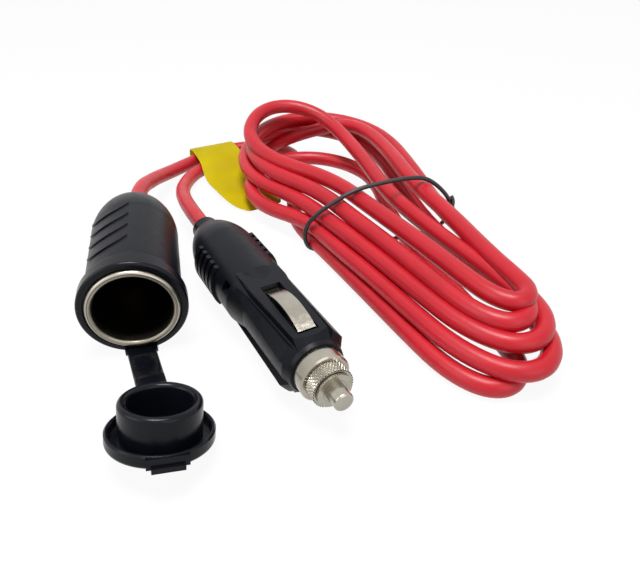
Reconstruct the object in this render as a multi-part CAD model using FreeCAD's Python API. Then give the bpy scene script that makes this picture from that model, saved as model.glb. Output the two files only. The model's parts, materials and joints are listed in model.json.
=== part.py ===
import FreeCAD, Part
import math
import os

V = FreeCAD.Vector

# Lighter socket extension cord, in millimetres.
# Origin at the centre of the socket's mouth, socket axis along +Y, floor at FLOOR.

# Socket end
RING_RADIUS = 14.7
RING_STEP_RADIUS = 13.6
RING_FRONT_LENGTH = 4.6
RING_LENGTH = 8.0
FLOOR = -RING_RADIUS
COLLAR_RADIUS = 12.9
BODY_RADIUS = 13.2
BODY_STRAIGHT_END = 36.0
SOCKET_LENGTH = 61.0
TAIL_RADIUS = 4.3
BORE_RADIUS = 10.6
BARREL_WALL = 0.5
BARREL_DEPTH = 35.0
BORE_LENGTH = 29.5
BARREL_END_RADIUS = 9.8
RIM_RADIUS = 12.45
RIM_PROUD = 0.9
HOUSING_FRONT = 0.7
FIT_GAP = 0.05
CRESCENT_COUNT = 4
CRESCENT_FIRST = 15.0
CRESCENT_PITCH = 6.6
CRESCENT_HEIGHT = 0.4
CRESCENT_ARC = 8.0
CRESCENT_WIDTH = 1.3
CRESCENT_ROLL = 30.0

# Dust cap and its strap
FLANGE_RADIUS = 12.4
FLANGE_BASE = 1.5
FLANGE_LIP_HEIGHT = 1.8
FLANGE_LIP_WALL = 1.0
CUP_RADIUS = 9.5
CUP_INNER_RADIUS = 7.3
CUP_HEIGHT = 8.8
CAP_GAP = 1.0
CAP_TRAVEL = 23.0
HINGE_ROLL = -2.0
HINGE_YAW = 20.0
HINGE_RISE = 6.5
CAP_OPEN_ANGLE = 78.5
STRAP_WIDTH = 8.8
STRAP_THICKNESS = 1.8
LUG_REACH = 1.2
TAB_WIDTH = 7.2
TAB_REACH = 1.0
TAB_ROLL = -16.0

# Plug end, stations along its own axis from tail to tip
PLUG_TAIL = V(22.1, 47.2, FLOOR + 10.8)
PLUG_HEADING = -74.2
HANDLE_RADIUS = 10.0
FRONT_RADIUS = 8.4
SHELL_START = 5.0
HANDLE_START = 20.0
HANDLE_END = 45.0
FRONT_START = 53.0
TAPER_START = 77.0
SHELL_END = 80.0
SHELL_END_RADIUS = 7.5
SPIGOT_RADIUS = 5.4
SPIGOT_END = 84.0
FUSE_BORE_RADIUS = 4.0
RIB_COUNT = 5
RIB_FIRST = 21.0
RIB_PITCH = 3.1
RIB_WIDTH = 1.7
RIB_RADIUS = 10.9
RIB_HALF_HEIGHT = 6.4
LATCH_START = 41.0
LATCH_END = 44.4
LATCH_LOW = 2.8
LATCH_HIGH = 6.0
PAD_START = 44.0
PAD_REAR_HALF_WIDTH = 6.0
PAD_HALF_WIDTH = 4.6
PAD_HEIGHT = 9.0
SLOT_START = 53.4
SLOT_END = 75.6
SLOT_HALF_WIDTH = 2.9
SLOT_FLOOR = 4.7
BOSS_ANGLE = 52.0
BOSS_HEIGHT = 9.6
BOSS_START = 46.0
BOSS_START_WIDTH = 1.6
BOSS_END_WIDTH = 4.6
CONTACT_HALF_WIDTH = 2.4
CONTACT_THICKNESS = 0.5
CONTACT_CROWN = 10.6
NOSE_RADIUS = 6.8
NOSE_RING_END = 84.2
KNURL_RADIUS = 5.3
KNURL_END = 87.8
LIP_RADIUS = 4.75
NOSE_END = 88.7
PIN_GUIDE_RADIUS = 3.1
PIN_RADIUS = 2.6
PLUG_LENGTH = 93.2
FUSE_RADIUS = 3.15
FUSE_START = 50.4
FUSE_LENGTH = 30.0
FUSE_CAP_LENGTH = 6.0
SPRING_START = 41.0
SPRING_RADIUS = 2.5
SPRING_WIRE = 0.7
SPRING_TURNS = 5
GROMMET_RADIUS = 4.4

# Cord, hank, tie and label
CORD_RADIUS = 2.8
CORD_HOLE_RADIUS = 2.85
CORD_REST = FLOOR + CORD_RADIUS
SOCKET_ROUTE = [
    (0, 50, 0), (0, 74, 0), (5, 93, -5), (13, 111, -10), (26, 127, CORD_REST), (42, 135, CORD_REST),
    (58, 133, CORD_REST), (68, 122, CORD_REST), (66, 106, CORD_REST), (60, 83, CORD_REST), (56, 62, CORD_REST),
]
PLUG_ROUTE_END = [
    (15.5, 82, -7.5), (17, 99, -11), (23, 113, CORD_REST),
    (36, 121, CORD_REST), (51, 123, -11), (65, 122, -4),
]
HANK_FAR = V(62, 128, FLOOR)
HANK_NEAR = V(97, -40, FLOOR)
HANK_AXIS = (HANK_NEAR - HANK_FAR).normalize()
HANK_ACROSS = V(-HANK_AXIS.y, HANK_AXIS.x, 0)
# Each turn: near reach, middle, half width and height of its near fold, then place across the hank
# and height of its left and right strands at the tie
TURNS = [
    (170, -5.5, 11, 2.8, -19, 2.8, 10, 2.8),
    (172.5, 1, 15, 7.6, -19, 8.3, 22, 4.5),
    (166.5, 3.5, 13.5, 11.5, -16.5, 13, 27, 9.5),
    (161, 3, 9, 14.8, -12.3, 17, 8.5, 15.5),
    (157, 6.5, 6, 17.8, -6, 19.8, 18, 18.5),
]
# Each far bend, one before and one after every turn: reach, middle, half width, height of its tip and sides
FAR_BENDS = [
    (8, -2, 24, 2.8, 2.8), (20, -5, 26, 7, 6.5), (2, 1, 29, 13, 11),
    (3, 5, 30, 18, 16), (9, -4, 20, 27, 19), (8, 4, 24, 18, 19),
]
FAR_SWEEP = 1.2
LEFT_SWEEP = 2.2
RIGHT_SWEEP = 1.3
LEFT_TIE = 81.0
RIGHT_TIE = 94.0
QUARTER = 0.14
HANK_START = 0.2
HANK_END = 4.92
HANK_STEPS = 20
HANK_SIDES = 12
TIE_WIDTH = 1.5
TIE_THICKNESS = 1.0
LABEL_LENGTH = 52.0
LABEL_WIDTH = 20.0
LABEL_THICKNESS = 0.5
LABEL_START = V(33, 127, 0)
LABEL_END = V(46, 77, 0)

SOCKET_PLACE = FreeCAD.Placement(V(0, 0, 0), FreeCAD.Rotation(V(0, 0, 1), 90))
PLUG_PLACE = FreeCAD.Placement(PLUG_TAIL, FreeCAD.Rotation(V(0, 0, 1), PLUG_HEADING))


def outline(points):
    """Closed wire through (station, radius) points; a third value marks the middle of an arc."""
    edges = []
    start = V(points[0][0], points[0][1], 0)
    first = start
    middle = None
    for point in points[1:] + [points[0]]:
        here = V(point[0], point[1], 0)
        if len(point) == 3:
            middle = here
            continue
        if middle is not None:
            edges.append(Part.Arc(start, middle, here).toShape())
            middle = None
        elif (here - start).Length > 1e-6:
            edges.append(Part.LineSegment(start, here).toShape())
        start = here
    if middle is not None:
        edges.append(Part.Arc(start, middle, first).toShape())
    return Part.Wire(edges)


def turned(points):
    """Solid of revolution about the local X axis."""
    return Part.Face(outline(points)).revolve(V(0, 0, 0), V(1, 0, 0), 360)


def box(x0, x1, y0, y1, z0, z1):
    return Part.makeBox(x1 - x0, y1 - y0, z1 - z0, V(x0, y0, z0))


def rod(radius, start, end):
    return Part.makeCylinder(radius, end - start, V(start, 0, 0), V(1, 0, 0))


def rolled(shape, angle):
    """Copy turned about the local X axis."""
    copy = shape.copy()
    copy.rotate(V(0, 0, 0), V(1, 0, 0), angle)
    return copy


def placed(shape, placement):
    return shape.transformed(placement.toMatrix())


def save(shape, name):
    if len(shape.Solids) == 1:
        shape = shape.Solids[0]
    shape.exportStep("parts/" + name + ".step")


def socket_housing():
    bore = BORE_RADIUS + BARREL_WALL + FIT_GAP
    cavity_end = BARREL_DEPTH + 11
    body = turned([
        (HOUSING_FRONT, bore), (HOUSING_FRONT, COLLAR_RADIUS),
        (RING_LENGTH + FIT_GAP, COLLAR_RADIUS), (RING_LENGTH + 0.4, BODY_RADIUS),
        (BODY_STRAIGHT_END, BODY_RADIUS), (50.6, 10.4, "arc"), (SOCKET_LENGTH - 2.2, TAIL_RADIUS + 0.5),
        (SOCKET_LENGTH - 2.0, TAIL_RADIUS), (SOCKET_LENGTH, TAIL_RADIUS),
        (SOCKET_LENGTH, CORD_HOLE_RADIUS), (cavity_end, CORD_HOLE_RADIUS),
        (cavity_end, 8.5), (BARREL_DEPTH + 1, 8.5), (BARREL_DEPTH + 1, bore),
    ])
    shell = rod(BODY_RADIUS + CRESCENT_HEIGHT, RING_LENGTH + 1, BODY_STRAIGHT_END + 5)
    shell = shell.cut(rod(BODY_RADIUS - 0.4, RING_LENGTH, BODY_STRAIGHT_END + 6))
    for index in range(CRESCENT_COUNT):
        station = CRESCENT_FIRST + index * CRESCENT_PITCH
        arch = Part.makeCylinder(CRESCENT_ARC, 9, V(station + CRESCENT_ARC - 2, 0, 7), V(0, 0, 1))
        inside = Part.makeCylinder(CRESCENT_ARC, 9, V(station + CRESCENT_ARC - 2 + CRESCENT_WIDTH, 0, 7), V(0, 0, 1))
        front = box(station - 4, station + 2.2, -7, 7, 7, 16)
        crescent = arch.cut(inside).common(front).common(shell)
        body = body.fuse(rolled(crescent, -CRESCENT_ROLL))
        body = body.fuse(rolled(crescent, 180 - CRESCENT_ROLL))
    return body.removeSplitter()


def socket_barrel():
    """Drawn liner: rolled rim, straight bore for the plug and a narrower closed end."""
    outer = BORE_RADIUS + BARREL_WALL
    neck = BORE_LENGTH + 1.2
    return turned([
        (BARREL_DEPTH - 0.6, BARREL_END_RADIUS), (neck, BARREL_END_RADIUS), (BORE_LENGTH, BORE_RADIUS), (0, BORE_RADIUS),
        (-RIM_PROUD, (BORE_RADIUS + RIM_RADIUS) / 2, "arc"), (0, RIM_RADIUS),
        (HOUSING_FRONT - FIT_GAP, RIM_RADIUS), (HOUSING_FRONT - FIT_GAP, outer),
        (BORE_LENGTH, outer), (neck, BARREL_END_RADIUS + BARREL_WALL),
        (BARREL_DEPTH, BARREL_END_RADIUS + BARREL_WALL), (BARREL_DEPTH, 4.5), (BARREL_DEPTH - 0.6, 4.5),
    ])


def barrel_insulator():
    seat = BARREL_DEPTH - 0.65
    return turned([
        (seat - 1.4, 1.6), (seat - 1.4, 9.5), (seat, 9.5), (seat, 4.4),
        (BARREL_DEPTH + 1.2, 4.4), (BARREL_DEPTH + 1.2, 1.6),
    ])


def centre_contact():
    face = BARREL_DEPTH - 2.1
    tail = BARREL_DEPTH + 1.9
    return turned([
        (face - 1.6, 0), (face - 1.2, 2.6, "arc"), (face, 4.2), (face, 1.5),
        (tail, 1.5), (tail, 2.5), (tail + 0.8, 1.8), (tail + 0.8, 0),
    ])


def positive_tag():
    face = BARREL_DEPTH + 1.25
    disc = rod(3.6, face, face + 0.6).cut(rod(1.55, face - 1, face + 2))
    tail = box(face, BARREL_DEPTH + 8, -1.5, 1.5, 3.0, 3.6)
    return disc.fuse(tail).removeSplitter()


def ground_lug():
    face = BARREL_DEPTH + FIT_GAP
    foot = box(face, face + 0.6, -2, 2, -8.2, -5.2)
    tail = box(face, BARREL_DEPTH + 8, -2, 2, -8.2, -7.6)
    return foot.fuse(tail).removeSplitter()


def cap_ring():
    """Ring in two steps, with a short lug under its front where the strap starts."""
    ring = turned([
        (0, COLLAR_RADIUS + FIT_GAP), (0, RING_RADIUS - 0.8), (0.25, RING_RADIUS - 0.25, "arc"), (0.8, RING_RADIUS),
        (RING_FRONT_LENGTH - 0.5, RING_RADIUS), (RING_FRONT_LENGTH, RING_RADIUS - 0.5),
        (RING_FRONT_LENGTH, RING_STEP_RADIUS), (RING_LENGTH - 0.5, RING_STEP_RADIUS),
        (RING_LENGTH, RING_STEP_RADIUS - 0.5), (RING_LENGTH, COLLAR_RADIUS + FIT_GAP),
    ])
    lug = box(-LUG_REACH, RING_FRONT_LENGTH, -STRAP_WIDTH / 2, STRAP_WIDTH / 2, FLOOR, FLOOR + STRAP_THICKNESS)
    lug = lug.cut(rod(COLLAR_RADIUS + FIT_GAP, 0, RING_LENGTH))
    return ring.fuse(lug).removeSplitter()


def hinge_point():
    """Where the strap's end meets the edge of the cap, with the cap open."""
    roll = math.radians(HINGE_ROLL)
    outer_face = -(CAP_GAP + FLANGE_LIP_HEIGHT + FLANGE_BASE)
    return V(FLANGE_RADIUS * math.sin(roll), outer_face - CAP_TRAVEL, -FLANGE_RADIUS * math.cos(roll))


def hinge_axis():
    yaw = math.radians(HINGE_YAW)
    rise = math.radians(HINGE_RISE)
    return V(math.cos(yaw) * math.cos(rise), math.sin(yaw) * math.cos(rise), math.sin(rise))


def dust_cap():
    """Built facing the mouth on the socket's axis, then turned open about the hinge."""
    outer_face = -(CAP_GAP + FLANGE_LIP_HEIGHT + FLANGE_BASE) - CAP_TRAVEL
    dish = outer_face + FLANGE_BASE
    lip = dish + FLANGE_LIP_HEIGHT
    rim = dish + CUP_HEIGHT
    rim_middle = (CUP_RADIUS + CUP_INNER_RADIUS) / 2
    rim_round = (CUP_RADIUS - CUP_INNER_RADIUS) / 2
    cap = turned([
        (outer_face, 0), (outer_face, FLANGE_RADIUS - 1.0), (outer_face + 0.3, FLANGE_RADIUS - 0.3, "arc"),
        (outer_face + 1.0, FLANGE_RADIUS), (lip - 0.4, FLANGE_RADIUS), (lip, FLANGE_RADIUS - 0.4),
        (lip, FLANGE_RADIUS - FLANGE_LIP_WALL + 0.2), (lip - 0.3, FLANGE_RADIUS - FLANGE_LIP_WALL),
        (dish, FLANGE_RADIUS - FLANGE_LIP_WALL - 0.4), (dish, CUP_RADIUS),
        (rim - rim_round, CUP_RADIUS), (rim, rim_middle, "arc"), (rim - rim_round, CUP_INNER_RADIUS),
        (dish + 0.6, CUP_INNER_RADIUS - 0.3), (dish, 0),
    ])
    half = TAB_WIDTH / 2
    root = FLANGE_RADIUS - 1.8
    tab = box(outer_face, outer_face + 1.2, -half, half, root, FLANGE_RADIUS + TAB_REACH)
    backing = box(outer_face + 0.6, lip - 0.2, -half - 1, half + 1, root, FLANGE_RADIUS + 0.2)
    backing = backing.cut(rod(FLANGE_RADIUS - FLANGE_LIP_WALL, outer_face, lip + 1))
    cap = cap.fuse(rolled(tab.fuse(backing), TAB_ROLL)).removeSplitter()
    cap = placed(cap, SOCKET_PLACE)
    cap.rotate(hinge_point(), hinge_axis(), CAP_OPEN_ANGLE)
    return cap


def cap_strap():
    """Flat strap from the ring's lug to the edge of the cap, bent a little to one side."""
    end = hinge_point()
    half = STRAP_WIDTH / 2
    low = FLOOR
    high = FLOOR + STRAP_THICKNESS
    root = LUG_REACH + 0.75
    reach = -end.y - 1.6
    side = Part.Wire([
        Part.LineSegment(V(0, root, low), V(0, reach, low)).toShape(),
        Part.LineSegment(V(0, reach, low), V(0, reach, high)).toShape(),
        Part.LineSegment(V(0, reach, high), V(0, reach * 0.62, high)).toShape(),
        Part.Arc(V(0, reach * 0.62, high), V(0, reach * 0.56, high - 0.6), V(0, reach * 0.5, high)).toShape(),
        Part.LineSegment(V(0, reach * 0.5, high), V(0, root, high)).toShape(),
        Part.LineSegment(V(0, root, high), V(0, root, low)).toShape(),
    ])
    ribbon = Part.Face(side).extrude(V(STRAP_WIDTH, 0, 0))
    ribbon.translate(V(-half, 0, 0))
    ribbon.rotate(V(0, 0, 0), V(0, 0, 1), 180)
    ribbon.rotate(V(0, 0, 0), V(0, 0, 1), math.degrees(math.atan2(end.x, reach)))
    return ribbon


def plug_outside():
    body = turned([
        (SHELL_START, 0), (SHELL_START, 4.8), (SHELL_START + 1.2, 5.8),
        (12.5, 8.6, "arc"), (HANDLE_START, HANDLE_RADIUS), (HANDLE_END, HANDLE_RADIUS),
        (FRONT_START, FRONT_RADIUS), (TAPER_START, FRONT_RADIUS), (SHELL_END, SHELL_END_RADIUS),
        (SHELL_END, SPIGOT_RADIUS), (SPIGOT_END, SPIGOT_RADIUS), (SPIGOT_END, 0),
    ])
    grip = rod(RIB_RADIUS, RIB_FIRST - 1, RIB_FIRST + RIB_COUNT * RIB_PITCH)
    for side in (-1, 1):
        for index in range(RIB_COUNT):
            start = RIB_FIRST + index * RIB_PITCH
            low = min(side * 7, side * 12)
            rib = box(start, start + RIB_WIDTH, low, low + 5, -RIB_HALF_HEIGHT, RIB_HALF_HEIGHT)
            body = body.fuse(rib.common(grip))
        latch_from = min(side * 6.6, side * 12)
        latch = box(LATCH_START, LATCH_END, latch_from, latch_from + 5.4, LATCH_LOW, LATCH_HIGH)
        body = body.cut(latch)
    nose_slope = turned([
        (PAD_START - 1, 0), (PAD_START - 1, 12), (TAPER_START - 0.5, 12), (TAPER_START - 0.5, BOSS_HEIGHT + 0.4),
        (SHELL_END - 0.8, SHELL_END_RADIUS), (SHELL_END - 0.8, 0),
    ])
    for turn in (0, 180):
        flat = Part.makePolygon([
            V(PAD_START, -PAD_REAR_HALF_WIDTH, 5), V(SHELL_END - 1, -PAD_HALF_WIDTH, 5),
            V(SHELL_END - 1, PAD_HALF_WIDTH, 5), V(PAD_START, PAD_REAR_HALF_WIDTH, 5),
            V(PAD_START, -PAD_REAR_HALF_WIDTH, 5),
        ])
        pad = Part.Face(flat).extrude(V(0, 0, PAD_HEIGHT - 5))
        body = body.fuse(rolled(pad, turn).common(nose_slope))
        for side in (-1, 1):
            wedge = Part.makePolygon([
                V(BOSS_START, -BOSS_START_WIDTH / 2, 5), V(SHELL_END - 1, -BOSS_END_WIDTH / 2, 5),
                V(SHELL_END - 1, BOSS_END_WIDTH / 2, 5), V(BOSS_START, BOSS_START_WIDTH / 2, 5),
                V(BOSS_START, -BOSS_START_WIDTH / 2, 5),
            ])
            boss = Part.Face(wedge).extrude(V(0, 0, BOSS_HEIGHT - 5))
            body = body.fuse(rolled(boss, turn - side * BOSS_ANGLE).common(nose_slope))
    return body


def plug_cavity():
    hollow = turned([
        (SHELL_START - 1, 0), (SHELL_START - 1, 3.75), (SHELL_START + 2, 3.75), (SHELL_START + 2, 5.05),
        (SHELL_START + 4.2, 5.05), (SHELL_START + 6, 6.6), (36, 6.6), (38, FUSE_BORE_RADIUS),
        (SPIGOT_END + 1, FUSE_BORE_RADIUS), (SPIGOT_END + 1, 0),
    ])
    for turn in (0, 180):
        slot = box(SLOT_START, SLOT_END, -SLOT_HALF_WIDTH, SLOT_HALF_WIDTH, SLOT_FLOOR, 14)
        hollow = hollow.fuse(rolled(slot, turn))
    return hollow


def plug_shells():
    whole = plug_outside().cut(plug_cavity())
    upper = whole.common(box(0, 100, -20, 20, 0, 20)).removeSplitter()
    lower = whole.common(box(0, 100, -20, 20, -20, 0)).removeSplitter()
    return upper, lower


def side_contact():
    """Bowed strip, held at its rear end in the slot."""
    start = V(SLOT_START + 1.0, 0, 7.0)
    crown = V(SLOT_START + 9.6, 0, CONTACT_CROWN - CONTACT_THICKNESS)
    end = V(SLOT_END - 0.8, 0, 8.4)
    lift = V(0, 0, CONTACT_THICKNESS)
    section = Part.Wire([
        Part.Arc(start, crown, end).toShape(),
        Part.LineSegment(end, end + lift).toShape(),
        Part.Arc(end + lift, crown + lift, start + lift).toShape(),
        Part.LineSegment(start + lift, start).toShape(),
    ])
    strip = Part.Face(section).extrude(V(0, 2 * CONTACT_HALF_WIDTH, 0))
    strip.translate(V(0, -CONTACT_HALF_WIDTH, 0))
    anchor = box(SLOT_START + 0.3, SLOT_START + 1.3, -CONTACT_HALF_WIDTH, CONTACT_HALF_WIDTH,
                 SLOT_FLOOR + 0.1, 7.0 + CONTACT_THICKNESS)
    return strip.fuse(anchor).removeSplitter()


def nose_nut():
    start = SHELL_END + FIT_GAP
    return turned([
        (start, SPIGOT_RADIUS + FIT_GAP), (start, NOSE_RADIUS), (NOSE_RING_END - 0.4, NOSE_RADIUS),
        (NOSE_RING_END, NOSE_RADIUS - 0.4), (NOSE_RING_END, KNURL_RADIUS), (KNURL_END, KNURL_RADIUS),
        (KNURL_END, LIP_RADIUS - 0.6), (KNURL_END + 0.2, LIP_RADIUS), (NOSE_END, LIP_RADIUS),
        (NOSE_END, PIN_GUIDE_RADIUS + FIT_GAP), (SPIGOT_END + FIT_GAP, PIN_GUIDE_RADIUS + FIT_GAP),
        (SPIGOT_END + FIT_GAP, SPIGOT_RADIUS + FIT_GAP),
    ])


def plug_tip():
    flange = FUSE_START + FUSE_LENGTH
    return turned([
        (flange, 0), (flange, 3.8), (SPIGOT_END - 1.2, 3.8), (SPIGOT_END - 1.2, PIN_GUIDE_RADIUS),
        (NOSE_END, PIN_GUIDE_RADIUS), (NOSE_END, PIN_RADIUS),
        (PLUG_LENGTH - 0.7, PIN_RADIUS), (PLUG_LENGTH - 0.2, PIN_RADIUS - 0.2, "arc"),
        (PLUG_LENGTH, PIN_RADIUS - 0.7), (PLUG_LENGTH, 0),
    ])


def fuse_glass():
    return rod(FUSE_RADIUS - 0.3, FUSE_START + FUSE_CAP_LENGTH, FUSE_START + FUSE_LENGTH - FUSE_CAP_LENGTH)


def fuse_cap(start):
    return rod(FUSE_RADIUS, start, start + FUSE_CAP_LENGTH)


def tip_spring():
    length = FUSE_START - SPRING_START - 2 * SPRING_WIRE
    helix = Part.makeHelix(length / SPRING_TURNS, length, SPRING_RADIUS)
    wire = Part.Wire(Part.makeCircle(SPRING_WIRE / 2, V(SPRING_RADIUS, 0, 0), V(0, 1, 0)).Edges)
    coil = Part.Wire(helix).makePipeShell([wire], True, True)
    coil.rotate(V(0, 0, 0), V(0, 1, 0), 90)
    coil.translate(V(SPRING_START + SPRING_WIRE, 0, 0))
    return coil


def spring_terminal():
    cup = rod(3.7, SPRING_START - 2, SPRING_START + 0.2)
    tail = box(SPRING_START - 9, SPRING_START - 2, -1.5, 1.5, -0.3, 0.3)
    return cup.fuse(tail).removeSplitter()


def cord_grommet():
    return turned([
        (0.5, CORD_HOLE_RADIUS), (0, GROMMET_RADIUS - 0.5), (0.7, GROMMET_RADIUS, "arc"), (1.6, GROMMET_RADIUS),
        (SHELL_START - 0.8, GROMMET_RADIUS), (SHELL_START - FIT_GAP, 3.7), (SHELL_START + 2.1, 3.7),
        (SHELL_START + 2.1, 5.0), (SHELL_START + 4.0, 5.0), (SHELL_START + 4.0, CORD_HOLE_RADIUS),
    ])


def cord_tube(name, route):
    """Tube along straight runs joined by tangent arcs as large as the runs allow."""
    points = [V(*point) for point in route]
    edges = []
    here = points[0]
    radii = []
    for before, corner, after in zip(points, points[1:], points[2:]):
        back = before - corner
        ahead = after - corner
        reach = 0.45 * min(back.Length, ahead.Length)
        turn = math.pi - back.getAngle(ahead)
        radii.append(reach / math.tan(turn / 2))
        back.normalize()
        ahead.normalize()
        start = corner + back * reach
        end = corner + ahead * reach
        inward = back + ahead
        inward.normalize()
        depth = radii[-1] * (1 / math.cos(turn / 2) - 1)
        edges.append(Part.LineSegment(here, start).toShape())
        edges.append(Part.Arc(start, corner + inward * depth, end).toShape())
        here = end
    edges.append(Part.LineSegment(here, points[-1]).toShape())
    path = Part.Wire(edges)
    circle = Part.makeCircle(CORD_RADIUS, points[0], points[1] - points[0])
    tube = path.makePipeShell([Part.Wire(circle)], True, True)
    share = tube.Volume / (math.pi * CORD_RADIUS ** 2 * path.Length)
    print(name, "length", round(path.Length, 1), "volume share", round(share, 3))
    print(name, "radii", [round(radius, 1) for radius in radii])
    return tube


def plug_route():
    inside = PLUG_PLACE.multVec(V(SHELL_START + 4, 0, 0))
    outside = PLUG_PLACE.multVec(V(-13, 0, 0))
    return [tuple(inside), tuple(outside)] + PLUG_ROUTE_END


def hank_place(u, v, high):
    """Place at u along the hank from its far end, v across it, and so high above the floor."""
    return HANK_FAR + HANK_AXIS * u + HANK_ACROSS * v + V(0, 0, high)


def eased(share):
    return share * share * (3 - 2 * share)


def along_strand(u, far, tie, near):
    """Value at u on a strand, from its (u, value) pairs at the far bend, the tie and the near fold."""
    start, end = (far, tie) if u < tie[0] else (tie, near)
    return start[1] + (end[1] - start[1]) * eased((u - start[0]) / (end[0] - start[0]))


def turn_point(phase):
    """Point of the wound cord: whole numbers of phase are at far bends, halves at near folds."""
    index = int(phase)
    place = phase - index
    near, fold, fold_half, fold_high, left, left_high, right, right_high = TURNS[index]
    going_out = place < 0.5
    far, bend, bend_half, tip_high, side_high = FAR_BENDS[index if going_out else index + 1]
    if going_out:
        side, tie, strand, strand_high, sweep = -1, LEFT_TIE, left, left_high, LEFT_SWEEP
    else:
        side, tie, strand, strand_high, sweep = 1, RIGHT_TIE, right, right_high, RIGHT_SWEEP
    start = far + bend_half * FAR_SWEEP
    end = near - fold_half * sweep
    from_far = min(place, 1 - place)
    from_near = 0.5 - from_far
    if from_far < QUARTER:
        angle = from_far / QUARTER * math.pi / 2
        u = far + (start - far) * (1 - math.cos(angle))
        v = bend + side * bend_half * math.sin(angle)
        high = side_high + (tip_high - side_high) * math.cos(angle)
    elif from_near < QUARTER:
        angle = from_near / QUARTER * math.pi / 2
        u = near - (near - end) * (1 - math.cos(angle))
        v = fold + side * fold_half * math.sin(angle)
        high = fold_high
    else:
        u = start + (end - start) * (from_far - QUARTER) / (0.5 - 2 * QUARTER)
        v = along_strand(u, (start, bend + side * bend_half), (tie, strand), (end, fold + side * fold_half))
        high = along_strand(u, (start, side_high), (tie, strand_high), (end, fold_high))
    return hank_place(u, v, high)


def wrapped(points, centre, across, reach):
    """Many-sided outline that wraps round these points in an upright plane, at this reach from them."""
    normals = [2 * math.pi * index / HANK_SIDES for index in range(HANK_SIDES)]
    places = [((point - centre).dot(across), point.z) for point in points]
    reaches = [max(math.cos(a) * x + math.sin(a) * z for x, z in places) + reach for a in normals]
    corners = []
    for index, angle in enumerate(normals):
        following = (index + 1) % HANK_SIDES
        other = normals[following]
        turn = math.sin(other - angle)
        x = (reaches[index] * math.sin(other) - reaches[following] * math.sin(angle)) / turn
        z = (reaches[following] * math.cos(angle) - reaches[index] * math.cos(other)) / turn
        corners.append(V(centre.x, centre.y, 0) + across * x + V(0, 0, z))
    return corners


def hank_section(place):
    """Outline round all the strands that pass one place in the turns, from 0 to 1 round a turn."""
    phases = [index + place for index in range(len(TURNS))]
    points = [turn_point(phase) for phase in phases if HANK_START <= phase <= HANK_END]
    middle = sum(points, V(0, 0, 0)) * (1 / len(points))
    step = 0.01
    ahead = sum((turn_point(2 + place + step), turn_point(3 + place + step)), V(0, 0, 0))
    behind = sum((turn_point(2 + place - step), turn_point(3 + place - step)), V(0, 0, 0))
    across = (ahead - behind).cross(V(0, 0, 1)).normalize()
    corners = wrapped(points, middle, across, CORD_RADIUS)
    return Part.makePolygon(corners + corners[:1])


def cord_hank():
    """Ring of the turns' outer shape, open through its far end as the wound cord is."""
    sections = [hank_section((index + 0.5) / HANK_STEPS) for index in range(HANK_STEPS)]
    half = HANK_STEPS // 2
    there = Part.makeLoft(sections[:half + 1], True, True)
    back = Part.makeLoft(sections[half:] + sections[:1], True, True)
    return there.fuse(back).removeSplitter()


def hank_tie():
    """Band round both sides of the hank, crossing it on a slant from the left strands to the right ones."""
    lefts = [hank_place(LEFT_TIE, turn[4], turn[5]) for turn in TURNS]
    rights = [hank_place(RIGHT_TIE, turn[6], turn[7]) for turn in TURNS]
    across = sum(rights, V(0, 0, 0)) - sum(lefts, V(0, 0, 0))
    across = V(across.x, across.y, 0).normalize()
    centre = hank_place((LEFT_TIE + RIGHT_TIE) / 2, 0, 0)
    along = HANK_AXIS * TIE_WIDTH
    faces = []
    for reach in (CORD_RADIUS, CORD_RADIUS + TIE_THICKNESS):
        corners = [V(c.x, c.y, max(c.z, FLOOR)) for c in wrapped(lefts + rights, centre, across, reach)]
        faces.append(Part.Face(Part.makePolygon(corners + corners[:1])))
    return faces[1].extrude(along).cut(faces[0].extrude(along))


def cord_label():
    """Flag wrapped over the cord, its free end lying on the floor."""
    wrap = CORD_RADIUS + 0.15
    out = wrap + LABEL_THICKNESS
    height = CORD_REST - FLOOR
    section = Part.Wire([
        Part.Arc(V(-wrap, 0, height), V(0, 0, height + wrap), V(wrap, 0, height)).toShape(),
        Part.LineSegment(V(wrap, 0, height), V(wrap + 7, 0, 0.1)).toShape(),
        Part.LineSegment(V(wrap + 7, 0, 0.1), V(LABEL_LENGTH, 0, 0.1)).toShape(),
        Part.LineSegment(V(LABEL_LENGTH, 0, 0.1), V(LABEL_LENGTH, 0, 0.1 + LABEL_THICKNESS)).toShape(),
        Part.LineSegment(V(LABEL_LENGTH, 0, 0.1 + LABEL_THICKNESS), V(out + 7, 0, 0.1 + LABEL_THICKNESS)).toShape(),
        Part.LineSegment(V(out + 7, 0, 0.1 + LABEL_THICKNESS), V(out, 0, height)).toShape(),
        Part.Arc(V(out, 0, height), V(0, 0, height + out), V(-out, 0, height)).toShape(),
        Part.LineSegment(V(-out, 0, height), V(-wrap, 0, height)).toShape(),
    ])
    flag = Part.Face(section).extrude(V(0, LABEL_WIDTH, 0))
    flag.translate(V(0, -LABEL_WIDTH / 2, 0))
    heading = math.degrees(math.atan2(LABEL_END.y - LABEL_START.y, LABEL_END.x - LABEL_START.x))
    flag.rotate(V(0, 0, 0), V(0, 0, 1), heading)
    flag.translate(LABEL_START + V(0, 0, FLOOR))
    return flag


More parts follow.
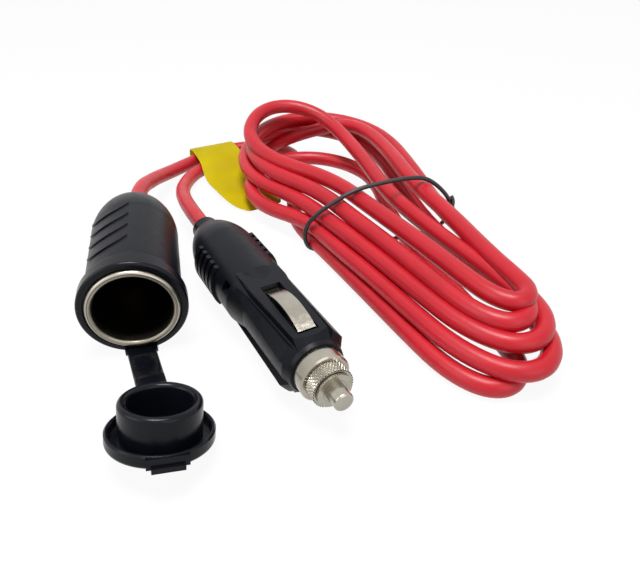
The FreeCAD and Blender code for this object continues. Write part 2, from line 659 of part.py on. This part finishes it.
def main():
    os.makedirs("parts", exist_ok=True)
    upper, lower = plug_shells()
    contact = side_contact()
    socket_pieces = {
        "socket_housing": socket_housing(), "socket_barrel": socket_barrel(),
        "barrel_insulator": barrel_insulator(), "centre_contact": centre_contact(),
        "positive_tag": positive_tag(), "ground_lug": ground_lug(), "cap_ring": cap_ring(),
    }
    plug_pieces = {
        "plug_shell_upper": upper, "plug_shell_lower": lower,
        "contact_upper": contact, "contact_lower": rolled(contact, 180),
        "nose_nut": nose_nut(), "plug_tip": plug_tip(), "fuse_glass": fuse_glass(),
        "fuse_cap_front": fuse_cap(FUSE_START + FUSE_LENGTH - FUSE_CAP_LENGTH),
        "fuse_cap_rear": fuse_cap(FUSE_START), "tip_spring": tip_spring(),
        "spring_terminal": spring_terminal(), "cord_grommet": cord_grommet(),
    }
    for name, shape in socket_pieces.items():
        save(placed(shape, SOCKET_PLACE), name)
    for name, shape in plug_pieces.items():
        save(placed(shape, PLUG_PLACE), name)
    save(dust_cap(), "dust_cap")
    save(cap_strap(), "cap_strap")
    save(cord_tube("cord_socket_run", SOCKET_ROUTE), "cord_socket_run")
    save(cord_tube("cord_plug_run", plug_route()), "cord_plug_run")
    save(cord_hank(), "cord_hank")
    save(hank_tie(), "hank_tie")
    save(cord_label(), "cord_label")


main()
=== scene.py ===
import json
import math

import bpy
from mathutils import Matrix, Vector


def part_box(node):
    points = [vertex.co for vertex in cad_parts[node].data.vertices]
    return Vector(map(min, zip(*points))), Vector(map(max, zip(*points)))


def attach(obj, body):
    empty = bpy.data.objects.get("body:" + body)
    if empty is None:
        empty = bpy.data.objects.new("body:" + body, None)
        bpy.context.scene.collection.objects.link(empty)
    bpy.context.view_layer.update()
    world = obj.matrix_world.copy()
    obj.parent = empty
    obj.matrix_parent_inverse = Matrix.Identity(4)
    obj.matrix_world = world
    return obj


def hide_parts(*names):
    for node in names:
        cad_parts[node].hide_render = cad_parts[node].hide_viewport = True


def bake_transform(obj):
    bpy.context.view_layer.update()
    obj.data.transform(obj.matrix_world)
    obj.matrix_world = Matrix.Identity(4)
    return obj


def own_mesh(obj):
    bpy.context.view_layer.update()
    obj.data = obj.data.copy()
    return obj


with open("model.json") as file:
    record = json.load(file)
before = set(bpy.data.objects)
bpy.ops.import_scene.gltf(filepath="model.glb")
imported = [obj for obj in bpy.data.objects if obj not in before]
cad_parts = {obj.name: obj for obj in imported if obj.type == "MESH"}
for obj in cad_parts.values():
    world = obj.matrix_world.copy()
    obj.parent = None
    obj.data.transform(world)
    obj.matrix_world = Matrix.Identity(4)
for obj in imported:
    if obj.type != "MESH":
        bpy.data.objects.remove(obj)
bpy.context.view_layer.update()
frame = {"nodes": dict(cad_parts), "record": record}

nodes = frame["nodes"]
MM = 0.001

# The row frame: origin at the centre of the socket's mouth, socket axis along +Y
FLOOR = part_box("cap_ring")[0][2]
CORD_DIAMETER = 5.6 * MM
CORD_RADIUS = CORD_DIAMETER / 2
CORD_REST = FLOOR + CORD_RADIUS

# Photograph frame and the camera worked out from the socket, plug and cap in it
PHOTO_WIDTH = 640
FOCAL_PIXELS = 600
SENSOR_MM = 36.0
CAMERA_PLACE = Vector((19.6, -136.0, 97.9)) * MM
CAMERA_PITCH = math.radians(35.0)
CAMERA_YAW = math.radians(13.2)


# Materials

# Most of a noise texture's values lie between these two
NOISE_LOW = 0.3
NOISE_HIGH = 0.7
# The barrel's rim: radii and depths in metres, then colours from its bore out to its edge. The colours are
# nickel in rings of painted highlight and painted shade, the near-black ring being painted shade for a fine
# groove, and past the depths the mouth darkens to painted shade
RIM_INNER_RADIUS = 0.0105
RIM_OUTER_RADIUS = 0.0125
BORE_SHADE_START_DEPTH = 0.001
BORE_SHADE_FULL_DEPTH = 0.003
RIM_NICKEL_AND_PAINTED_LIGHT_COLOURS = [
    (0.0, (0.16, 0.14, 0.11)), (0.3, (0.42, 0.38, 0.31)), (0.52, (0.30, 0.27, 0.22)),
    (0.62, (0.05, 0.045, 0.04)), (0.72, (0.50, 0.46, 0.39)), (1.0, (0.30, 0.27, 0.23)),
]
# Painted shade for the wall just inside the mouth
BORE_PAINTED_SHADE_COLOUR = (0.045, 0.041, 0.037)


def new_material(name):
    """Empty node material with its shader, ready for links."""
    material = bpy.data.materials.new(name)
    material.use_nodes = True
    tree = material.node_tree
    shader = tree.nodes["Principled BSDF"]
    return material, tree, shader


def noise(tree, scale, detail, stretch=(1, 1, 1)):
    """Noise in the piece's own coordinates, stretched where the grain runs one way."""
    coords = tree.nodes.new("ShaderNodeTexCoord")
    mapping = tree.nodes.new("ShaderNodeMapping")
    mapping.inputs["Scale"].default_value = stretch
    texture = tree.nodes.new("ShaderNodeTexNoise")
    texture.inputs["Scale"].default_value = scale
    texture.inputs["Detail"].default_value = detail
    tree.links.new(coords.outputs["Object"], mapping.inputs["Vector"])
    tree.links.new(mapping.outputs["Vector"], texture.inputs["Vector"])
    return texture.outputs["Fac"]


def vary_colour(tree, shader, source, dark, light):
    ramp = tree.nodes.new("ShaderNodeValToRGB")
    ramp.color_ramp.elements[0].position = NOISE_LOW
    ramp.color_ramp.elements[0].color = (*dark, 1)
    ramp.color_ramp.elements[1].position = NOISE_HIGH
    ramp.color_ramp.elements[1].color = (*light, 1)
    tree.links.new(source, ramp.inputs["Fac"])
    tree.links.new(ramp.outputs["Color"], shader.inputs["Base Color"])


def vary_roughness(tree, shader, source, low, high):
    spread = tree.nodes.new("ShaderNodeMapRange")
    spread.inputs["From Min"].default_value = NOISE_LOW
    spread.inputs["From Max"].default_value = NOISE_HIGH
    spread.inputs["To Min"].default_value = low
    spread.inputs["To Max"].default_value = high
    tree.links.new(source, spread.inputs["Value"])
    tree.links.new(spread.outputs["Result"], shader.inputs["Roughness"])


def bump(tree, shader, source, strength, distance):
    node = tree.nodes.new("ShaderNodeBump")
    node.inputs["Strength"].default_value = strength
    node.inputs["Distance"].default_value = distance
    tree.links.new(source, node.inputs["Height"])
    tree.links.new(node.outputs["Normal"], shader.inputs["Normal"])


def red_pvc():
    material, tree, shader = new_material("red_pvc")
    broad = noise(tree, 60, 3)
    vary_colour(tree, shader, broad, (0.46, 0.008, 0.018), (0.54, 0.011, 0.023))
    vary_roughness(tree, shader, noise(tree, 220, 4), 0.34, 0.44)
    bump(tree, shader, noise(tree, 900, 2), 0.05, 0.0002)
    shader.inputs["Specular IOR Level"].default_value = 0.4
    shader.inputs["Subsurface Weight"].default_value = 0.08
    shader.inputs["Subsurface Radius"].default_value = (0.004, 0.0006, 0.0005)
    shader.inputs["Subsurface Scale"].default_value = 0.5
    return material


def black_plastic():
    material, tree, shader = new_material("black_plastic")
    vary_colour(tree, shader, noise(tree, 90, 4), (0.004, 0.0045, 0.007), (0.007, 0.0075, 0.011))
    vary_roughness(tree, shader, noise(tree, 400, 5), 0.32, 0.42)
    bump(tree, shader, noise(tree, 3500, 3), 0.12, 0.00008)
    shader.inputs["Specular IOR Level"].default_value = 0.15
    return material


def black_rubber():
    material, tree, shader = new_material("black_rubber")
    vary_colour(tree, shader, noise(tree, 70, 4), (0.003, 0.0035, 0.006), (0.006, 0.0065, 0.010))
    vary_roughness(tree, shader, noise(tree, 250, 5), 0.2, 0.3)
    bump(tree, shader, noise(tree, 1800, 3), 0.10, 0.0001)
    shader.inputs["Specular IOR Level"].default_value = 0.18
    return material


def nickel():
    material, tree, shader = new_material("nickel")
    vary_colour(tree, shader, noise(tree, 120, 4), (0.33, 0.305, 0.255), (0.46, 0.43, 0.37))
    vary_roughness(tree, shader, noise(tree, 500, 6, (1, 1, 6)), 0.16, 0.30)
    bump(tree, shader, noise(tree, 1500, 3, (1, 1, 8)), 0.05, 0.00005)
    shader.inputs["Metallic"].default_value = 1.0
    return material


def barrel_nickel_painted_light():
    """Plated rim in rings of painted highlight and painted shade, a ring of painted shade standing for a
    fine groove, darkening with depth to painted shade just inside the mouth.
    """
    material, tree, shader = new_material("barrel_nickel_painted_light")
    coords = tree.nodes.new("ShaderNodeTexCoord")
    flat = tree.nodes.new("ShaderNodeVectorMath")
    flat.operation = "MULTIPLY"
    flat.inputs[1].default_value = (1, 0, 1)
    radius = tree.nodes.new("ShaderNodeVectorMath")
    radius.operation = "LENGTH"
    spread = tree.nodes.new("ShaderNodeMapRange")
    spread.inputs["From Min"].default_value = RIM_INNER_RADIUS
    spread.inputs["From Max"].default_value = RIM_OUTER_RADIUS
    # Rings of painted highlight and painted shade across the rim
    rings = tree.nodes.new("ShaderNodeValToRGB")
    for place, _ in RIM_NICKEL_AND_PAINTED_LIGHT_COLOURS[1:-1]:
        rings.color_ramp.elements.new(place)
    for element, (place, colour) in zip(rings.color_ramp.elements, RIM_NICKEL_AND_PAINTED_LIGHT_COLOURS):
        element.position = place
        element.color = (*colour, 1)
    split = tree.nodes.new("ShaderNodeSeparateXYZ")
    # Painted shade: the colour darkens with depth into the mouth
    depth = tree.nodes.new("ShaderNodeMapRange")
    depth.inputs["From Min"].default_value = BORE_SHADE_START_DEPTH
    depth.inputs["From Max"].default_value = BORE_SHADE_FULL_DEPTH
    mix = tree.nodes.new("ShaderNodeMix")
    mix.data_type = "RGBA"
    mix.inputs["B"].default_value = (*BORE_PAINTED_SHADE_COLOUR, 1)
    tree.links.new(coords.outputs["Object"], flat.inputs[0])
    tree.links.new(flat.outputs["Vector"], radius.inputs[0])
    tree.links.new(radius.outputs["Value"], spread.inputs["Value"])
    tree.links.new(spread.outputs["Result"], rings.inputs["Fac"])
    tree.links.new(coords.outputs["Object"], split.inputs["Vector"])
    tree.links.new(split.outputs["Y"], depth.inputs["Value"])
    tree.links.new(depth.outputs["Result"], mix.inputs["Factor"])
    tree.links.new(rings.outputs["Color"], mix.inputs["A"])
    tree.links.new(mix.outputs["Result"], shader.inputs["Base Color"])
    vary_roughness(tree, shader, noise(tree, 500, 6, (1, 6, 1)), 0.3, 0.42)
    shader.inputs["Metallic"].default_value = 1.0
    return material


def plain_metal(name, dark, light):
    material, tree, shader = new_material(name)
    vary_colour(tree, shader, noise(tree, 150, 4), dark, light)
    vary_roughness(tree, shader, noise(tree, 600, 4), 0.28, 0.42)
    shader.inputs["Metallic"].default_value = 1.0
    return material


def insulator():
    material, tree, shader = new_material("insulator")
    vary_colour(tree, shader, noise(tree, 400, 6), (0.05, 0.028, 0.020), (0.10, 0.060, 0.042))
    vary_roughness(tree, shader, noise(tree, 300, 4), 0.6, 0.8)
    return material


def fuse_glass():
    material, tree, shader = new_material("fuse_glass")
    vary_roughness(tree, shader, noise(tree, 200, 3), 0.02, 0.06)
    shader.inputs["Base Color"].default_value = (0.9, 0.95, 0.93, 1)
    shader.inputs["Transmission Weight"].default_value = 1.0
    shader.inputs["IOR"].default_value = 1.5
    return material


def yellow_label():
    material, tree, shader = new_material("yellow_label")
    vary_colour(tree, shader, noise(tree, 50, 4), (0.44, 0.335, 0.001), (0.56, 0.45, 0.002))
    vary_roughness(tree, shader, noise(tree, 150, 4), 0.5, 0.65)
    bump(tree, shader, noise(tree, 120, 3), 0.2, 0.0006)
    shader.inputs["Specular IOR Level"].default_value = 0.1
    return material


def tie_black():
    material, tree, shader = new_material("tie_black")
    vary_colour(tree, shader, noise(tree, 300, 4), (0.010, 0.009, 0.011), (0.022, 0.020, 0.024))
    vary_roughness(tree, shader, noise(tree, 500, 4), 0.4, 0.55)
    return material


MATERIALS = {
    "red_pvc": red_pvc(),
    "black_plastic": black_plastic(),
    "black_rubber": black_rubber(),
    "nickel": nickel(),
    "brass": plain_metal("brass", (0.55, 0.36, 0.13), (0.68, 0.47, 0.19)),
    "spring_steel": plain_metal("spring_steel", (0.42, 0.42, 0.43), (0.56, 0.56, 0.57)),
    "insulator": insulator(),
    "fuse_glass": fuse_glass(),
    "label_yellow": yellow_label(),
    "tie_black": tie_black(),
}


def dress_frame():
    """Every carried-over solid gets the material of its slot, and the barrel its own plating with painted
    highlight and painted shade.
    """
    for subpart in frame["record"]["subparts"]:
        node = nodes[subpart["node"]]
        node.data.materials.clear()
        node.data.materials.append(MATERIALS[subpart["material_slot"]])
    nodes["socket_barrel"].data.materials[0] = barrel_nickel_painted_light()


# Camera, floor and light

FLOOR_HALF_WIDTH = 3.0
FLOOR_GLOW = 0.93
SKY_LIGHT = 0.15
LAMP_AIM = Vector((0.05, 0.03, 0.0))


def add_camera():
    data = bpy.data.cameras.new("camera")
    data.sensor_fit = "HORIZONTAL"
    data.sensor_width = SENSOR_MM
    data.lens = SENSOR_MM * FOCAL_PIXELS / PHOTO_WIDTH
    data.clip_start = 0.005
    camera = bpy.data.objects.new("camera", data)
    camera.location = CAMERA_PLACE
    camera.rotation_euler = (math.pi / 2 - CAMERA_PITCH, 0, -CAMERA_YAW)
    bpy.context.scene.collection.objects.link(camera)
    bpy.context.scene.camera = camera


def seen_directly(tree):
    """1 for rays from the camera, a reflection or a clear piece, 0 for light that falls on the object."""
    path = tree.nodes.new("ShaderNodeLightPath")
    total = path.outputs["Is Camera Ray"]
    for name in ("Is Glossy Ray", "Is Transmission Ray"):
        larger = tree.nodes.new("ShaderNodeMath")
        larger.operation = "MAXIMUM"
        tree.links.new(total, larger.inputs[0])
        tree.links.new(path.outputs[name], larger.inputs[1])
        total = larger.outputs[0]
    return total


def add_floor():
    half = FLOOR_HALF_WIDTH
    mesh = bpy.data.meshes.new("floor")
    corners = [(-half, -half, FLOOR), (half, -half, FLOOR), (half, half, FLOOR), (-half, half, FLOOR)]
    mesh.from_pydata(corners, [], [(0, 1, 2, 3)])
    floor = bpy.data.objects.new("floor", mesh)
    bpy.context.scene.collection.objects.link(floor)
    material, tree, shader = new_material("floor")
    shader.inputs["Base Color"].default_value = (0.86, 0.86, 0.86, 1)
    shader.inputs["Roughness"].default_value = 0.9
    glow = tree.nodes.new("ShaderNodeEmission")
    share = tree.nodes.new("ShaderNodeMath")
    share.operation = "MULTIPLY"
    share.inputs[1].default_value = FLOOR_GLOW
    mix = tree.nodes.new("ShaderNodeMixShader")
    tree.links.new(seen_directly(tree), share.inputs[0])
    tree.links.new(share.outputs[0], mix.inputs["Fac"])
    tree.links.new(shader.outputs[0], mix.inputs[1])
    tree.links.new(glow.outputs[0], mix.inputs[2])
    tree.links.new(mix.outputs[0], tree.nodes["Material Output"].inputs["Surface"])
    mesh.materials.append(material)


def add_world():
    world = bpy.data.worlds.new("world")
    world.use_nodes = True
    bpy.context.scene.world = world
    tree = world.node_tree
    light = tree.nodes["Background"]
    light.inputs["Color"].default_value = (1, 1, 1, 1)
    light.inputs["Strength"].default_value = SKY_LIGHT
    white = tree.nodes.new("ShaderNodeBackground")
    white.inputs["Color"].default_value = (1, 1, 1, 1)
    white.inputs["Strength"].default_value = 1.0
    mix = tree.nodes.new("ShaderNodeMixShader")
    tree.links.new(seen_directly(tree), mix.inputs["Fac"])
    tree.links.new(light.outputs[0], mix.inputs[1])
    tree.links.new(white.outputs[0], mix.inputs[2])
    tree.links.new(mix.outputs[0], tree.nodes["World Output"].inputs["Surface"])


def add_lamp(name, place, size, power):
    data = bpy.data.lights.new(name, "AREA")
    data.shape = "SQUARE"
    data.size = size
    data.energy = power
    lamp = bpy.data.objects.new(name, data)
    lamp.location = place
    aim = LAMP_AIM - Vector(place)
    lamp.rotation_euler = aim.to_track_quat("-Z", "Y").to_euler()
    bpy.context.scene.collection.objects.link(lamp)


def add_light():
    add_lamp("key_light", (0.02, -0.02, 0.75), 0.3, 6.0)
    add_lamp("left_fill", (-0.6, -0.1, 0.40), 0.5, 1.6)
    add_lamp("front_fill", (0.35, -0.60, 0.35), 0.5, 1.0)


# Cord: one line from the socket's tail through the hank to the plug's tail

PLUG_AXIS_HIGH = 10.8
PLUG_TAIL = Vector((22.1, 47.2, FLOOR / MM + PLUG_AXIS_HIGH))
PLUG_HEADING = math.radians(-74.2)
PLUG_AXIS = Vector((math.cos(PLUG_HEADING), math.sin(PLUG_HEADING), 0))
CORD_IN_PLUG = 3
CORD_STRAIGHT = 13
REST = CORD_REST / MM
SOCKET_ROUTE = [
    (0, 58, 0), (0, 74, 0), (5, 93, -5), (13, 111, -10),
    (26, 127, REST), (42, 135, REST), (58, 133, REST), (68, 122, REST), (66, 106, REST), (60, 83, REST),
]
PLUG_ROUTE = [
    tuple(PLUG_TAIL + PLUG_AXIS * CORD_IN_PLUG), tuple(PLUG_TAIL - PLUG_AXIS * CORD_STRAIGHT),
    (15.5, 82, -7.5), (17, 99, -11), (23, 113, REST), (36, 121, REST), (51, 123, -11), (65, 122, -4),
]
HANK_FAR = Vector((62, 128))
HANK_NEAR = Vector((97, -40))
HANK_AXIS = (HANK_NEAR - HANK_FAR).normalized()
HANK_ACROSS = Vector((-HANK_AXIS.y, HANK_AXIS.x))
# Each turn: near reach, middle, half width and height of its near fold, then place across the hank
# and height of its left and right strands at the tie
TURNS = [
    (170, -5.5, 11, 2.8, -19, 2.8, 10, 2.8),
    (172.5, 1, 15, 7.6, -19, 8.3, 22, 4.5),
    (166.5, 3.5, 13.5, 11.5, -16.5, 13, 27, 9.5),
    (161, 3, 9, 14.8, -12.3, 17, 8.5, 15.5),
    (157, 6.5, 6, 17.8, -6, 19.8, 18, 18.5),
]
# Each far bend, one before and one after every turn: reach, middle, half width, height of its tip and sides
FAR_BENDS = [
    (8, -2, 24, 2.8, 2.8),
    (20, -5, 26, 7, 6.5),
    (2, 1, 29, 13, 11),
    (3, 5, 30, 18, 16),
    (9, -4, 20, 27, 19),
    (8, 4, 24, 18, 19),
]
FAR_SWEEP = 1.2
LEFT_SWEEP = 2.2
RIGHT_SWEEP = 1.3
LEFT_TIE = 81
RIGHT_TIE = 94
QUARTER = 0.14
TURN_POINTS = 20
HANK_START = 0.2
HANK_END = 4.92


def hank_place(u, v, high):
    """Place at u along the hank from its far end, v across it, and so high above the floor."""
    flat = HANK_FAR + HANK_AXIS * u + HANK_ACROSS * v
    return Vector((flat.x, flat.y, FLOOR / MM + high))


def eased(share):
    return share * share * (3 - 2 * share)


def along_strand(u, far, tie, near):
    """Value at u on a strand, from its (u, value) pairs at the far bend, the tie and the near fold."""
    start, end = (far, tie) if u < tie[0] else (tie, near)
    return start[1] + (end[1] - start[1]) * eased((u - start[0]) / (end[0] - start[0]))


def turn_point(phase):
    """Point of the wound cord: whole numbers of phase are at far bends, halves at near folds."""
    index = int(phase)
    place = phase - index
    near, fold, fold_half, fold_high, left, left_high, right, right_high = TURNS[index]
    going_out = place < 0.5
    far, bend, bend_half, tip_high, side_high = FAR_BENDS[index if going_out else index + 1]
    if going_out:
        side, tie, strand, strand_high, sweep = -1, LEFT_TIE, left, left_high, LEFT_SWEEP
    else:
        side, tie, strand, strand_high, sweep = 1, RIGHT_TIE, right, right_high, RIGHT_SWEEP
    start = far + bend_half * FAR_SWEEP
    end = near - fold_half * sweep
    from_far = min(place, 1 - place)
    from_near = 0.5 - from_far
    if from_far < QUARTER:
        angle = from_far / QUARTER * math.pi / 2
        u = far + (start - far) * (1 - math.cos(angle))
        v = bend + side * bend_half * math.sin(angle)
        high = side_high + (tip_high - side_high) * math.cos(angle)
    elif from_near < QUARTER:
        angle = from_near / QUARTER * math.pi / 2
        u = near - (near - end) * (1 - math.cos(angle))
        v = fold + side * fold_half * math.sin(angle)
        high = fold_high
    else:
        u = start + (end - start) * (from_far - QUARTER) / (0.5 - 2 * QUARTER)
        v = along_strand(u, (start, bend + side * bend_half), (tie, strand), (end, fold + side * fold_half))
        high = along_strand(u, (start, side_high), (tie, strand_high), (end, fold_high))
    return hank_place(u, v, high)


def hank_points():
    count = round((HANK_END - HANK_START) * TURN_POINTS)
    step = (HANK_END - HANK_START) / count
    return [turn_point(HANK_START + step * index) for index in range(count + 1)]


def mesh_piece(name, verts, faces, slot, smooth=True):
    mesh = bpy.data.meshes.new(name)
    mesh.from_pydata(verts, [], faces)
    mesh.polygons.foreach_set("use_smooth", [smooth] * len(mesh.polygons))
    mesh.materials.append(MATERIALS[slot])
    piece = bpy.data.objects.new(name, mesh)
    bpy.context.scene.collection.objects.link(piece)
    return piece


def wall_faces(rows, count):
    """Faces of an open tube whose points come in rows of rings."""
    faces = []
    for row in range(rows - 1):
        for column in range(count):
            here = row * count + column
            nearby = row * count + (column + 1) % count
            faces.append((here, here + count, nearby + count, nearby))
    return faces


def bar_faces(rows, count):
    """The same tube with both its ends closed."""
    last = (rows - 1) * count
    ends = [tuple(range(count)), tuple(range(last + count - 1, last - 1, -1))]
    return ends + wall_faces(rows, count)


def nurbs_line(name, points, radius, closed=False):
    """Round tube along a smooth line with these control points, given in millimetres."""
    curve = bpy.data.curves.new(name, "CURVE")
    curve.dimensions = "3D"
    spline = curve.splines.new("NURBS")
    spline.points.add(len(points) - 1)
    for control, point in zip(spline.points, points):
        control.co = (*(Vector(point) * MM), 1)
    spline.use_cyclic_u = closed
    spline.order_u = 3
    spline.use_endpoint_u = not closed
    spline.resolution_u = 6
    curve.bevel_depth = radius
    curve.bevel_resolution = 5
    curve.use_fill_caps = True
    piece = bpy.data.objects.new(name, curve)
    bpy.context.scene.collection.objects.link(piece)
    return piece


def add_cord():
    points = SOCKET_ROUTE + hank_points() + PLUG_ROUTE[::-1]
    cord = nurbs_line("red_cord", points, CORD_RADIUS)
    cord.data.materials.append(MATERIALS["red_pvc"])
    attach(cord, "root")
    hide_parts("cord_socket_run", "cord_plug_run", "cord_hank")
    return cord


# Tie round the hank, its ends twisted together at the right

TIE_RADIUS = 0.75
TIE_LOOP = [
    (87, -15, 0.8), (84.5, -22, 0.8), (83, -23.6, 4), (83.5, -23.6, 9.5), (86, -21, 15),
    (88.5, -16, 19.5), (89.5, -8, 23.4), (90, 2, 24.2), (90.5, 12, 24.2), (91, 19.2, 23.2),
    (91.2, 25.2, 18.6), (91.4, 30.2, 13), (91.6, 31.4, 8), (91.8, 28, 2.6), (91.5, 22, 0.8),
    (90, 5, 0.8),
]
TIE_KNOT = (91.4, 30.6, 13.5)
TIE_TAIL = (93.5, 32.4, 2.4)
TIE_TWISTS = 2.5
TIE_STEPS = 16


def add_tie():
    loop = [hank_place(*point) for point in TIE_LOOP]
    band = nurbs_line("hank_tie_band", loop, TIE_RADIUS * MM, closed=True)
    knot = hank_place(*TIE_KNOT)
    tail = hank_place(*TIE_TAIL)
    across = (tail - knot).orthogonal().normalized()
    other = (tail - knot).normalized().cross(across)
    for turn in (0, math.pi):
        spline = band.data.splines.new("NURBS")
        spline.points.add(TIE_STEPS)
        for step, control in enumerate(spline.points):
            angle = turn + TIE_TWISTS * math.pi * step / TIE_STEPS
            off = (across * math.cos(angle) + other * math.sin(angle)) * TIE_RADIUS
            control.co = (*((knot.lerp(tail, step / TIE_STEPS) + off) * MM), 1)
        spline.order_u = 3
        spline.use_endpoint_u = True
    band.data.materials.append(MATERIALS["tie_black"])
    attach(band, "root")
    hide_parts("hank_tie")
    return band


# Flag label folded over both tails of the cord, its two layers stuck together

LABEL_START = Vector((33, 127))
LABEL_END = Vector((46, 77))
LABEL_AXIS = (LABEL_END - LABEL_START).normalized()
LABEL_ACROSS = Vector((-LABEL_AXIS.y, LABEL_AXIS.x))
LABEL_HALF_WIDTH = 10
# Rows of the label: place along it, height above the floor, shift across
LABEL_PROFILE = [
    (-8.6, 0.5, -0.5), (-8.4, 3, -0.5), (-6.5, 5.8, -0.8), (-3, 6.8, -1), (1.5, 6.8, -1.2),
    (6, 7, -1.5), (10, 7, -1.8), (13.5, 6.2, -2), (16.5, 3.4, -2.2), (20, 1.6, -2.4),
    (27, 1.5, -2.6), (34, 1.9, -2.6), (41, 1.3, -1.8), (48, 0.8, -0.2), (53, 0.6, 0.8),
]
LABEL_COLUMNS = 13
LABEL_CORNER = 3
LABEL_LOWEST = 0.5
LABEL_THICKNESS = 0.4
# Ripple of the lying part: its height, its turns across and along, where it starts and how far it grows
RIPPLE = 0.5
RIPPLE_ACROSS = 2.6
RIPPLE_ALONG = 0.11
RIPPLE_START = 14
RIPPLE_GROWTH = 10


def add_label():
    verts = []
    for place, high, shift in LABEL_PROFILE:
        left_over = min(0.0, LABEL_PROFILE[-1][0] - LABEL_CORNER - place)
        half = LABEL_HALF_WIDTH - LABEL_CORNER * (1 - math.sqrt(1 - (left_over / LABEL_CORNER) ** 2))
        for column in range(LABEL_COLUMNS):
            share = 2 * column / (LABEL_COLUMNS - 1) - 1
            grown = min(1, max(0, place - RIPPLE_START) / RIPPLE_GROWTH)
            wave = RIPPLE * math.sin(RIPPLE_ACROSS * share + RIPPLE_ALONG * place) * grown
            flat = LABEL_START + LABEL_AXIS * place + LABEL_ACROSS * (share * half + shift)
            verts.append(Vector((flat.x, flat.y, FLOOR / MM + max(LABEL_LOWEST, high + wave))) * MM)
    faces = []
    for row in range(len(LABEL_PROFILE) - 1):
        for column in range(LABEL_COLUMNS - 1):
            corner = row * LABEL_COLUMNS + column
            faces.append((corner, corner + 1, corner + LABEL_COLUMNS + 1, corner + LABEL_COLUMNS))
    label = mesh_piece("flag_label", verts, faces, "label_yellow")
    layers = label.modifiers.new("layers", "SOLIDIFY")
    layers.thickness = LABEL_THICKNESS * MM
    smooth = label.modifiers.new("smooth", "SUBSURF")
    smooth.levels = 2
    smooth.render_levels = 2
    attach(label, "root")
    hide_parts("cord_label")
    return label


# Strap between the socket's ring and the cap, bent at a crease half way

STRAP_START = Vector((-0.1, -0.8))
STRAP_END = Vector((4.5, -26.4))
STRAP_HALF_WIDTH = 3.9
STRAP_HALF_THICKNESS = 0.9
STRAP_CORNER = 0.4
# Share of the strap's length and height of its middle above the floor
STRAP_HEIGHTS = [
    (0, 0.95), (0.15, 0.95), (0.32, 0.98), (0.44, 1.1), (0.5, 1.75),
    (0.56, 2.05), (0.7, 1.9), (0.85, 1.75), (1, 1.9),
]


def add_strap():
    wide = STRAP_HALF_WIDTH
    thick = STRAP_HALF_THICKNESS
    ring = [
        (-wide, -thick + STRAP_CORNER), (-wide + STRAP_CORNER, -thick), (wide - STRAP_CORNER, -thick),
        (wide, -thick + STRAP_CORNER), (wide, thick - STRAP_CORNER), (wide - STRAP_CORNER, thick),
        (-wide + STRAP_CORNER, thick), (-wide, thick - STRAP_CORNER),
    ]
    along = (STRAP_END - STRAP_START).normalized()
    across = Vector((along.y, -along.x))
    verts = []
    for share, high in STRAP_HEIGHTS:
        middle = STRAP_START.lerp(STRAP_END, share)
        for x, z in ring:
            flat = middle + across * x
            verts.append(Vector((flat.x, flat.y, FLOOR / MM + high + z)) * MM)
    faces = bar_faces(len(STRAP_HEIGHTS), len(ring))
    strap = mesh_piece("rubber_strap", verts, faces, "black_rubber")
    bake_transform(strap)
    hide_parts("cap_strap")


# Plug: coil spring behind the fuse, which closes up as the pin is pressed

SPRING_START = 41.7
SPRING_END = 49.7
SPRING_RADIUS = 2.5
SPRING_WIRE_RADIUS = 0.35
SPRING_TURNS = 5
SPRING_STEPS = 24
SPRING_SIDES = 8


def add_spring():
    side = Vector((-PLUG_AXIS.y, PLUG_AXIS.x, 0))
    rows = SPRING_TURNS * SPRING_STEPS + 1
    verts = []
    for row in range(rows):
        share = row / (rows - 1)
        angle = 2 * math.pi * SPRING_TURNS * share
        out = side * math.cos(angle) + Vector((0, 0, math.sin(angle)))
        station = SPRING_START + (SPRING_END - SPRING_START) * share
        middle = PLUG_TAIL + PLUG_AXIS * station + out * SPRING_RADIUS
        for corner in range(SPRING_SIDES):
            turn = 2 * math.pi * corner / SPRING_SIDES
            around = out * math.cos(turn) + PLUG_AXIS * math.sin(turn)
            verts.append((middle + around * SPRING_WIRE_RADIUS) * MM)
    spring = mesh_piece("coil_spring", verts, bar_faces(rows, SPRING_SIDES), "spring_steel")
    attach(spring, "root")
    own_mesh(spring)
    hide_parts("tip_spring")
    return spring


# Plug: diamond knurl on the nose ring

KNURL_START = 84.3
KNURL_END = 87.8
KNURL_LOW = 5.2
KNURL_HIGH = 5.6
KNURL_TEETH = 40
KNURL_ROWS = 3
POINTS_PER_TOOTH = 4
POINTS_PER_ROW = 8


def add_knurl():
    around = KNURL_TEETH * POINTS_PER_TOOTH
    along = KNURL_ROWS * POINTS_PER_ROW
    side = Vector((-PLUG_AXIS.y, PLUG_AXIS.x, 0))
    verts = []
    for row in range(along + 1):
        station = KNURL_START + (KNURL_END - KNURL_START) * row / along
        lean = math.pi * KNURL_ROWS * row / along
        for column in range(around):
            angle = 2 * math.pi * column / around
            tooth = KNURL_TEETH * angle / 2
            groove = min(abs(math.sin(tooth + lean)), abs(math.sin(tooth - lean)))
            radius = KNURL_LOW + (KNURL_HIGH - KNURL_LOW) * groove
            out = side * math.cos(angle) + Vector((0, 0, 1)) * math.sin(angle)
            verts.append((PLUG_TAIL + PLUG_AXIS * station + out * radius) * MM)
    knurl = mesh_piece("nose_knurl", verts, wall_faces(along + 1, around), "nickel", smooth=False)
    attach(knurl, "nose")
    return knurl


# Everything in order: the frame's solids, then the stage, then the pieces that the scene adds

dress_frame()
add_camera()
add_floor()
add_world()
add_light()
cord = add_cord()
add_tie()
add_label()
add_knurl()
add_spring()
add_strap()

bpy.context.scene.view_settings.view_transform = "Standard"
